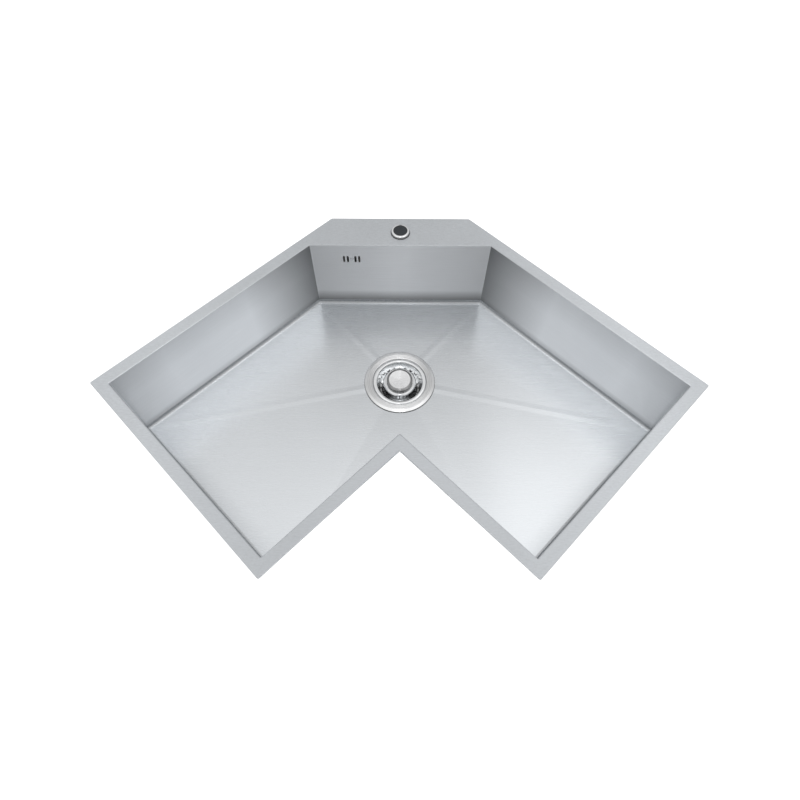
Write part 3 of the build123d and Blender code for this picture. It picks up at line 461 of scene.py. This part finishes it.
def floor_steel(name, settings):
    """Floor brushed from side to side, with its creases."""
    material, tree, shader, spot = new_material(name)
    parts = split(tree, spot)
    lines = effect(tree, "grain", Vector=spot, Lines=(9.0, 1500.0, 60.0), Speckle=1300.0)
    clouds = effect(tree, "mottle", Vector=spot, Scale=7.0)["Tone"]
    tone = blended(tree, lines["Tone"], 0.25, clouds)
    creased = bump(tree, crease_ridges(tree, parts), 1.0, settings.crease)
    rough = settings.floor_roughness
    dress(tree, shader, {
        "Base Color": scaled(tree, shaded(tree, settings.floor, tone, 0.96, 1.04),
                             floor_light(tree, spot, parts)),
        "Roughness": ramp(tree, tone, 0.0, 1.0, rough - 0.015, rough + 0.02),
        "Normal": bump(tree, lines["Height"], 0.2, 0.00004, creased),
        "Tangent": place(tree, "ShaderNodeCombineXYZ", {"Y": 1.0}).outputs[0],
    }, Metallic=1.0, Anisotropic=settings.across)
    return material


def turned_metal(name, colour, roughness, pitch, spread, across, depth=0.2, light=None, lines=()):
    """Metal finished on a lathe about the waste's axis, with its turned lines darkened as painted shade in
    their grooves.
    """
    material, tree, shader, spot = new_material(name)
    rings = effect(tree, "rings", Vector=spot, Pitch=pitch)
    outward = rings["Outward"]
    radius = vector_sums(tree, "LENGTH", outward)
    clouds = effect(tree, "mottle", Vector=spot, Scale=60.0)["Tone"]
    tone = blended(tree, rings["Tone"], 0.3, clouds)
    colour = shaded(tree, colour, tone, 1.0 - spread, 1.0 + spread)
    # Painted light and shade, where a function for it is given
    if light:
        colour = scaled(tree, colour, light(tree, spot, outward, radius))
    normal = bump(tree, rings["Height"], depth, 0.00005)
    width = waste().groove_width
    # Each turned line is sunk as a bump and darkened, painted shade in its groove
    for line in lines:
        mark = band(tree, radius, line, line + width / 2, width / 3)
        colour = scaled(tree, colour, ramp(tree, mark, 0.0, 1.0, 1.0, 0.62))
        normal = bump(tree, sums(tree, "SUBTRACT", 1.0, mark), 0.6, 0.0002, normal)
    dress(tree, shader, {
        "Base Color": colour,
        "Roughness": ramp(tree, tone, 0.0, 1.0, roughness * 0.8, roughness * 1.2),
        "Normal": normal,
        "Tangent": outward,
    }, Metallic=1.0, Anisotropic=across)
    return material


def flange_light(tree, spot, outward, radius):
    """Painted shade: the flange is darker at its left and right than in front and behind."""
    aside = sums(tree, "ABSOLUTE", split(tree, vector_sums(tree, "NORMALIZE", outward))["X"])
    return ramp(tree, aside, 0.5, 0.95, 1.0, 0.77)


def knob_light(tree, spot, outward, radius):
    """Painted shade: a dark band where the knob's bevel turns down."""
    return ramp(tree, band(tree, radius, *KNOB_BEVEL, 0.0008), 0.0, 1.0, 1.0, 0.30)


def basket_light(tree, spot, outward, radius):
    """Painted shade in the trough: dark, less so behind and a little in front, with a painted highlight at
    the back, while the basket's outside is light.
    """
    height = split(tree, spot)["Z"]
    behind = split(tree, vector_sums(tree, "NORMALIZE", outward))["Y"]
    trough = sums(tree, "MAXIMUM", ramp(tree, behind, -1.0, -0.7, 0.88, TROUGH_SHADE),
                  ramp(tree, behind, 0.05, 0.45, TROUGH_SHADE, 1.14))
    lip = ramp(tree, height, TROUGH_DEEP, TROUGH_LIP)
    edge = sums(tree, "MULTIPLY", ramp(tree, radius, *BASKET_EDGE), ramp(tree, height, *BASKET_WALL))
    inside = ramp(tree, sums(tree, "MAXIMUM", lip, edge), 0.0, 1.0, trough, 1.0)
    normal = tree.nodes.new("ShaderNodeTexCoord").outputs["Normal"]
    side = ramp(tree, vector_sums(tree, "DOT_PRODUCT", normal, outward), 0.0, 0.01)
    side = sums(tree, "MULTIPLY", side, ramp(tree, radius, *BASKET_SIDE))
    under = ramp(tree, split(tree, normal)["Z"], -0.2, -0.5)
    outside = sums(tree, "MULTIPLY", sums(tree, "MAXIMUM", side, under), 0.85)
    return sums(tree, "MAXIMUM", inside, outside)


def mottled(name, colour, roughness, scale, spread=0.06, depth=0.1, lift=0.0001, **values):
    """Plain material with a fine uneven skin, for plating, plastic, rubber and foam."""
    material, tree, shader, spot = new_material(name)
    skin = effect(tree, "mottle", Vector=spot, Scale=scale, Fineness=4.0)
    clouds = effect(tree, "mottle", Vector=spot, Scale=35.0)["Tone"]
    tone = blended(tree, skin["Tone"], 0.4, clouds)
    dress(tree, shader, {
        "Base Color": shaded(tree, colour, tone, 1.0 - spread, 1.0 + spread),
        "Roughness": ramp(tree, tone, 0.0, 1.0, roughness * 0.85, roughness * 1.15),
        "Normal": bump(tree, skin["Height"], depth, lift),
    }, **values)
    return material


def stud_steel(name, pitch, roughness=0.30):
    """Plated steel with a thread on the free length of the studs."""
    material, tree, shader, spot = new_material(name)
    skin = effect(tree, "mottle", Vector=spot, Scale=1200.0, Fineness=4.0)
    rings = effect(tree, "thread", Vector=spot, Pitch=pitch)
    free = ramp(tree, split(tree, spot)["Z"], STUD_PLATE - 0.0005, STUD_PLATE, 1.0, 0.0)
    ridges = sums(tree, "MULTIPLY", rings["Height"], free)
    # The free length of each stud takes the thread's painted shade in its valleys
    dress(tree, shader, {
        "Base Color": scaled(tree, shaded(tree, ZINC, skin["Tone"], 0.95, 1.05),
                             mixed(tree, free, 1.0, rings["Tone"])),
        "Roughness": ramp(tree, skin["Tone"], 0.0, 1.0, roughness * 0.85, roughness * 1.15),
        "Normal": bump(tree, ridges, 1.0, pitch * 0.45, bump(tree, skin["Height"], 0.12, 0.0001)),
    }, Metallic=1.0)
    return material


def cap_chrome(name):
    """Chrome of the cap, with painted shade in the groove round its face and a painted dark reflection at its
    turned-down edge.
    """
    material, tree, shader, spot = new_material(name)
    skin = effect(tree, "mottle", Vector=spot, Scale=400.0, Fineness=4.0)
    plan = vector_sums(tree, "MULTIPLY", vector_sums(tree, "SUBTRACT", spot, CAP_AXIS), (1.0, 1.0, 0.0))
    radius = vector_sums(tree, "LENGTH", plan)
    # Painted shade in the groove and a painted dark reflection on the edge
    groove = ramp(tree, radius, CAP_FACE + 0.0012, CAP_FACE + 0.0022, 0.10, 1.0)
    edge = ramp(tree, radius, CAP_RADIUS - 0.0016, CAP_RADIUS - 0.0006, 1.0, 0.3)
    colour = shaded(tree, (0.88, 0.89, 0.90), skin["Tone"], 0.98, 1.02)
    dress(tree, shader, {
        "Base Color": scaled(tree, colour, sums(tree, "MULTIPLY", groove, edge)),
        "Roughness": ramp(tree, skin["Tone"], 0.0, 1.0, 0.05, 0.09),
        "Normal": bump(tree, skin["Height"], 0.02, 0.0001),
    }, Metallic=1.0)
    return material


def steel():
    return bpy.context.scene.sink_steel


def waste():
    return bpy.context.scene.sink_waste


ZINC = (0.62, 0.64, 0.66)
BASKET = (0.86, 0.87, 0.88)
POLISHED = (0.97, 0.975, 0.98)
MATERIALS = {}
MAKERS = {
    # Painted shade of the walls seen straight on: how dark the corners, the foot and the top are. mirrored is
    # their tone in reflections, lower on the back wall as a painted darker reflection in the floor
    "wall_steel": lambda name: wall_steel(
        name, steel(), steel().wall_roughness,
        corner_depth=0.74, foot_reach=0.10, foot_light=0.72, top_light=0.84, mirrored=1.0),
    "back_steel": lambda name: wall_steel(
        name, steel(), steel().back_roughness,
        corner_depth=0.22, foot_reach=0.19, foot_light=0.38, top_light=1.0, mirrored=0.79),
    "floor_steel": lambda name: floor_steel(name, steel()),
    "flange_steel": lambda name: turned_metal(
        name, POLISHED, 0.34, pitch=0.0006, spread=0.05, across=0.9, light=flange_light,
        lines=FLANGE_LINES),
    "basket_steel": lambda name: turned_metal(
        name, BASKET, 0.16, pitch=0.0007, spread=0.04, across=0.3, depth=0.1, light=basket_light),
    "stem_steel": lambda name: turned_metal(
        name, BASKET, 0.20, pitch=0.0007, spread=0.04, across=0.3, depth=0.1),
    "knob_steel": lambda name: turned_metal(
        name, POLISHED, 0.26, pitch=0.0005, spread=0.05, across=0.9, light=knob_light),
    "cap_chrome": cap_chrome,
    "zinc_steel": lambda name: mottled(name, ZINC, 0.30, 700.0, 0.12, 0.15, Metallic=1.0),
    "stud_steel": lambda name: stud_steel(name, waste().stud_pitch),
    "dark_gloss": lambda name: mottled(name, (0.035, 0.04, 0.045), 0.10, 500.0, 0.2, 0.02),
    "rubber": lambda name: mottled(name, (0.030, 0.030, 0.032), 0.60, 1500.0, 0.2, 0.25),
    "plastic": lambda name: mottled(name, (0.78, 0.78, 0.76), 0.38, 1200.0, 0.03, 0.12),
    "damping_pad": lambda name: mottled(name, (0.17, 0.175, 0.185), 0.80, 500.0, 0.25, 0.6, 0.0005),
    "foam": lambda name: mottled(name, (0.045, 0.045, 0.048), 0.90, 1800.0, 0.4, 0.6, 0.0004),
}


def material_of(name):
    if name not in MATERIALS:
        MATERIALS[name] = MAKERS[name](name)
    return MATERIALS[name]


def finish(material, *nodes):
    """Give CAD nodes their material."""
    for node in nodes:
        for spot in NODES[node].material_slots:
            spot.material = material_of(material)


# ---------------------------------------------------------------- mesh helpers


def copied(node):
    """The mesh of a CAD node, merged, to add detail to."""
    bm = bmesh.new()
    bm.from_mesh(NODES[node].data)
    bmesh.ops.remove_doubles(bm, verts=bm.verts, dist=1e-6)
    return bm


def as_mesh(bm, name):
    bmesh.ops.recalc_face_normals(bm, faces=bm.faces)
    mesh = bpy.data.meshes.new(name)
    bm.to_mesh(mesh)
    bm.free()
    return mesh


def keep(mesh, name, material, node):
    """Make a mesh the piece that stands for one of the sink's CAD nodes."""
    mesh.polygons.foreach_set("use_smooth", [True] * len(mesh.polygons))
    mesh.set_sharp_from_angle(angle=SHARP)
    mesh.materials.clear()
    mesh.materials.append(material_of(material))
    piece = bpy.data.objects.new(name, mesh)
    bpy.context.scene.collection.objects.link(piece)
    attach(piece, "sink")
    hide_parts(node)
    return piece


def add_thread(bm, radius, low, high, pitch, depth):
    """A helical ridge round the vertical axis, sunk a little into what carries it."""
    sunk = radius - depth / 3
    section = [bm.verts.new((reach, 0.0, low + rise * pitch))
               for reach, rise in ((sunk, 0.0), (radius + depth, 0.35), (radius + depth, 0.5), (sunk, 0.85))]
    sides = [bm.edges.new(pair) for pair in zip(section, section[1:] + section[:1])]
    turns = (high - low - pitch) / pitch
    steps = int(turns * THREAD_STEPS)
    made = bmesh.ops.spin(bm, geom=section + sides, cent=(0, 0, 0), axis=(0, 0, 1), angle=turns * math.tau,
                          steps=steps, dvec=(0, 0, turns * pitch / steps), use_merge=False)
    ends = [edge for edge in made["geom_last"] if isinstance(edge, bmesh.types.BMEdge)]
    bmesh.ops.holes_fill(bm, edges=sides + ends, sides=4)


def cross_cut(node, centres, size, width, deep, outward):
    """Mesh of a node's screws with a cross recess sunk in the head of each."""
    body = bpy.data.objects.new("screw_cut", as_mesh(copied(node), f"{node}_mesh"))
    tool = bmesh.new()
    turn = outward.to_track_quat("Z", "Y").to_matrix().to_4x4()
    for centre in centres:
        for long, short in ((size, width), (width, size)):
            reach = Matrix.Diagonal((long, short, 2 * deep, 1.0))
            bmesh.ops.create_cube(tool, size=1.0, matrix=Matrix.Translation(centre) @ turn @ reach)
    cutter = bpy.data.objects.new("screw_cutter", as_mesh(tool, "screw_cutter_mesh"))
    for made in (body, cutter):
        bpy.context.scene.collection.objects.link(made)
    cut = body.modifiers.new("recess", "BOOLEAN")
    cut.operation = "DIFFERENCE"
    cut.solver = "EXACT"
    cut.use_self = True
    cut.object = cutter
    bpy.context.view_layer.update()
    finished = bpy.data.meshes.new_from_object(body.evaluated_get(bpy.context.evaluated_depsgraph_get()))
    for made in (body, cutter):
        bpy.data.objects.remove(made)
    return finished


# ---------------------------------------------------------------- operators


class SINK_OT_bowl(bpy.types.Operator):
    """Brush the walls, the rim and the floor of the bowl"""

    bl_idname = "sink.bowl"
    bl_label = "Bowl"

    def execute(self, context):
        finish("wall_steel", *[f"{side}_wall" for side in WALLS if side != "back"])
        finish("back_steel", "back_wall")
        finish("floor_steel", "bowl_floor")
        return {"FINISHED"}


class SINK_OT_underside(bpy.types.Operator):
    """Finish the rim seal, the stiffening plate and the sound pads"""

    bl_idname = "sink.underside"
    bl_label = "Underside"

    def execute(self, context):
        finish("foam", "rim_seal")
        finish("zinc_steel", "ledge_stiffener")
        finish("damping_pad", "floor_pad_left", "floor_pad_right", *[f"wall_pad_{side}" for side in SIDES])
        return {"FINISHED"}


class SINK_OT_clips(bpy.types.Operator):
    """Finish the fixing clips"""

    bl_idname = "sink.clips"
    bl_label = "Fixing clips"

    def execute(self, context):
        finish("stud_steel", "clip_brackets")
        finish("zinc_steel", "clip_nuts", *[f"clip_claw_{number + 1}" for number in range(CLIPS)])
        return {"FINISHED"}


class SINK_OT_waste(bpy.types.Operator):
    """Finish the strainer cup with its flange, and what holds it in the floor"""

    bl_idname = "sink.waste"
    bl_label = "Waste"

    def execute(self, context):
        finish("flange_steel", "strainer_cup")
        finish("rubber", "flange_gasket", "under_gasket", "cup_seal")
        finish("plastic", "waste_backnut")
        threads = copied("waste_body")
        pitch, depth = waste().thread_pitch, waste().thread_depth
        nut_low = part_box("waste_backnut")[0].z
        add_thread(threads, BARREL_RADIUS, BARREL_FOOT, nut_low, pitch, depth)
        add_thread(threads, TAIL_RADIUS, FLOOR_LOW + 0.001, FLOOR_LOW + TAIL_LENGTH, pitch, depth)
        keep(as_mesh(threads, "waste_body_threaded"), "waste_body_threaded", "plastic", "waste_body")
        low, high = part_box("cup_screws")
        reach = -low.y - SCREW_HEAD_RADIUS
        centres = [Vector((reach * math.cos(turn), reach * math.sin(turn), high.z))
                   for turn in map(math.radians, CUP_SCREW_TURNS)]
        keep(cross_cut("cup_screws", centres, *CUP_RECESS, Vector((0, 0, 1))),
             "cup_screws_slotted", "zinc_steel", "cup_screws")
        return {"FINISHED"}


class SINK_OT_basket(bpy.types.Operator):
    """Finish the lift-out basket and its bush"""

    bl_idname = "sink.basket"
    bl_label = "Basket"

    def execute(self, context):
        finish("basket_steel", "basket")
        finish("plastic", "stem_bush")
        return {"FINISHED"}


class SINK_OT_stopper(bpy.types.Operator):
    """Finish the knob, the stem and the stopper"""

    bl_idname = "sink.stopper"
    bl_label = "Stopper"

    def execute(self, context):
        finish("knob_steel", "knob")
        finish("stem_steel", "stopper_stem", "stopper_plate")
        finish("rubber", "stopper_seal")
        finish("zinc_steel", "stem_nut")
        return {"FINISHED"}


class SINK_OT_overflow(bpy.types.Operator):
    """Finish the overflow behind the back wall"""

    bl_idname = "sink.overflow"
    bl_label = "Overflow"

    def execute(self, context):
        finish("plastic", "overflow_head", "overflow_head_nut", "overflow_branch_nut", "overflow_pipe")
        finish("rubber", "overflow_gasket")
        low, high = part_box("overflow_screw")
        head = Vector(((low.x + high.x) / 2, low.y, (low.z + high.z) / 2))
        keep(cross_cut("overflow_screw", [head], *OVERFLOW_RECESS, Vector((0, -1, 0))),
             "overflow_screw_slotted", "zinc_steel", "overflow_screw")
        return {"FINISHED"}


class SINK_OT_cap(bpy.types.Operator):
    """Finish the cap over the tap hole"""

    bl_idname = "sink.cap"
    bl_label = "Tap-hole cap"

    def execute(self, context):
        finish("cap_chrome", "cap_shell")
        finish("dark_gloss", "cap_face")
        finish("rubber", "cap_seal")
        finish("plastic", "cap_collet")
        return {"FINISHED"}


class SINK_OT_stage(bpy.types.Operator):
    """Set up the floor, the white card between the arms, the light and the camera"""

    bl_idname = "sink.stage"
    bl_label = "Studio"

    def execute(self, context):
        settings = context.scene.sink_stage
        reach = FLOOR_REACH
        self.plane("studio_floor", self.backdrop("studio_white"), FLOOR_LOW - FLOOR_GAP,
                   [(-reach, -reach), (reach, -reach), (reach, reach), (-reach, reach)])
        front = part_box("end_left_wall")[0].y
        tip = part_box("notch_left_wall")[0].x
        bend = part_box("notch_left_wall")[1].y - CARD_BEND
        card = self.plane("white_card", self.backdrop("card_white", clear_from_low=True), 0.0, [
            (0.0, bend), (tip, front), (0.8 * tip, front - CARD_PAST),
            (-0.8 * tip, front - CARD_PAST), (-tip, front)])
        card.visible_diffuse = card.visible_glossy = card.visible_transmission = card.visible_shadow = False
        self.sky(context.scene, settings)
        self.softbox("overhead_softbox", (0.0, -0.12, 1.9), (3.0, 1.66), settings.overhead)
        self.softbox("strip_softbox", (0.0, -0.31, 1.88), (0.25, 0.83), settings.strip)
        self.softbox("right_softbox", (1.0, 0.22, 1.85), (1.05, 1.4), settings.side)
        self.camera(context.scene, settings)
        return {"FINISHED"}

    def backdrop(self, name, clear_from_low=False):
        """White that is clear from below, and that for the card is also clear from a low angle."""
        material = bpy.data.materials.new(name)
        material.use_nodes = True
        tree = material.node_tree
        tree.nodes.clear()
        path = tree.nodes.new("ShaderNodeLightPath").outputs
        mirrored = sums(tree, "MAXIMUM", path["Is Glossy Ray"], path["Is Transmission Ray"])
        seen = sums(tree, "ADD", sums(tree, "MULTIPLY", path["Is Camera Ray"], 0.75),
                    sums(tree, "MULTIPLY", mirrored, 0.3))
        glow = place(tree, "ShaderNodeEmission", {"Strength": seen}).outputs[0]
        paint = place(tree, "ShaderNodeBsdfDiffuse", {"Color": (0.75, 0.75, 0.75, 1.0)}).outputs[0]
        white = place(tree, "ShaderNodeAddShader", {0: glow, 1: paint}).outputs[0]
        below = tree.nodes.new("ShaderNodeNewGeometry").outputs["Backfacing"]
        if clear_from_low:
            slant = place(tree, "ShaderNodeLayerWeight", {"Blend": 0.5}).outputs["Facing"]
            below = sums(tree, "MAXIMUM", below, ramp(tree, slant, *CARD_SLANT))
        clear = tree.nodes.new("ShaderNodeBsdfTransparent").outputs[0]
        sheet = place(tree, "ShaderNodeMixShader", {0: below, 1: white, 2: clear}).outputs[0]
        place(tree, "ShaderNodeOutputMaterial", {"Surface": sheet})
        return material

    def plane(self, name, material, height, outline):
        bm = bmesh.new()
        bm.faces.new([bm.verts.new((x, y, height)) for x, y in outline])
        bmesh.ops.recalc_face_normals(bm, faces=bm.faces)
        mesh = bpy.data.meshes.new(name)
        bm.to_mesh(mesh)
        bm.free()
        mesh.materials.append(material)
        sheet = bpy.data.objects.new(name, mesh)
        bpy.context.scene.collection.objects.link(sheet)
        return sheet

    def sky(self, scene, settings):
        """White light, dim in a gap behind the ledge and where the viewer stands; seen as plain white."""
        world = bpy.data.worlds.new("studio")
        scene.world = world
        world.use_nodes = True
        tree = world.node_tree
        tree.nodes.clear()
        look = split(tree, tree.nodes.new("ShaderNodeTexCoord").outputs["Generated"])
        upward = sums(tree, "MAXIMUM", look["Z"], 0.05)
        aside = sums(tree, "ABSOLUTE", sums(tree, "DIVIDE", look["X"], upward))
        behind = sums(tree, "DIVIDE", look["Y"], upward)
        level = 1.0
        for across, along in SKY_ZONES:
            zone = sums(tree, "MULTIPLY", ramp(tree, aside, *across), ramp(tree, behind, *along))
            level = sums(tree, "ADD", level, zone)
        level = sums(tree, "MULTIPLY", ramp(tree, look["Z"], 0.0, 0.9, 0.55, 1.0), level)
        strength = seen_only(tree, 1.0, sums(tree, "MULTIPLY", level, settings.sky))
        light = place(tree, "ShaderNodeBackground", {"Color": (1.0, 1.0, 1.0, 1.0), "Strength": strength})
        place(tree, "ShaderNodeOutputWorld", {"Surface": light.outputs[0]})

    def softbox(self, name, spot, size, power):
        """Level lamp that shines straight down."""
        lamp = bpy.data.lights.new(name, "AREA")
        lamp.shape = "RECTANGLE"
        lamp.size, lamp.size_y = size
        lamp.energy = power
        box = bpy.data.objects.new(name, lamp)
        box.location = spot
        box.visible_camera = False
        bpy.context.scene.collection.objects.link(box)

    def camera(self, scene, settings):
        high, turn, roll = settings.elevation, settings.azimuth, settings.roll
        back = Vector((math.sin(turn) * math.cos(high), -math.cos(turn) * math.cos(high), math.sin(high)))
        right = Vector((0, 0, 1)).cross(back).normalized()
        up = back.cross(right)
        right, up = (right * math.cos(roll) + up * math.sin(roll),
                     up * math.cos(roll) - right * math.sin(roll))
        lens = bpy.data.cameras.new("photo_camera")
        lens.lens = settings.lens
        lens.sensor_width = FILM_WIDTH
        eye = bpy.data.objects.new("photo_camera", lens)
        spot = Vector(settings.target) + back * settings.distance
        eye.matrix_world = Matrix.Translation(spot) @ Matrix((right, up, back)).transposed().to_4x4()
        scene.collection.objects.link(eye)
        scene.camera = eye
        scene.view_settings.view_transform = "Standard"


PIECES = [SINK_OT_bowl, SINK_OT_underside, SINK_OT_clips, SINK_OT_waste, SINK_OT_basket, SINK_OT_stopper,
          SINK_OT_overflow, SINK_OT_cap, SINK_OT_stage]
SETTINGS = {"sink_steel": SinkSteelSettings, "sink_waste": SinkWasteSettings, "sink_stage": SinkStageSettings}


class SINK_PT_panel(bpy.types.Panel):
    """Sizes, finishes and pieces of the sink"""

    bl_idname = "SINK_PT_panel"
    bl_label = "Corner kitchen sink"
    bl_space_type = "VIEW_3D"
    bl_region_type = "UI"
    bl_category = "Sink"

    def draw(self, context):
        for name, group in SETTINGS.items():
            column = self.layout.column(align=True)
            for label in group.__annotations__:
                column.prop(getattr(context.scene, name), label)
        for piece in PIECES:
            self.layout.operator(piece.bl_idname)


def register():
    for group in [*SETTINGS.values(), *PIECES, SINK_PT_panel]:
        bpy.utils.register_class(group)
    for name, group in SETTINGS.items():
        setattr(bpy.types.Scene, name, bpy.props.PointerProperty(type=group))


def unregister():
    for name in SETTINGS:
        delattr(bpy.types.Scene, name)
    for group in reversed([*SETTINGS.values(), *PIECES, SINK_PT_panel]):
        bpy.utils.unregister_class(group)


def main():
    register()
    for piece in PIECES:
        getattr(bpy.ops.sink, piece.bl_idname.split(".")[1])()


if __name__ == "__main__":
    main()
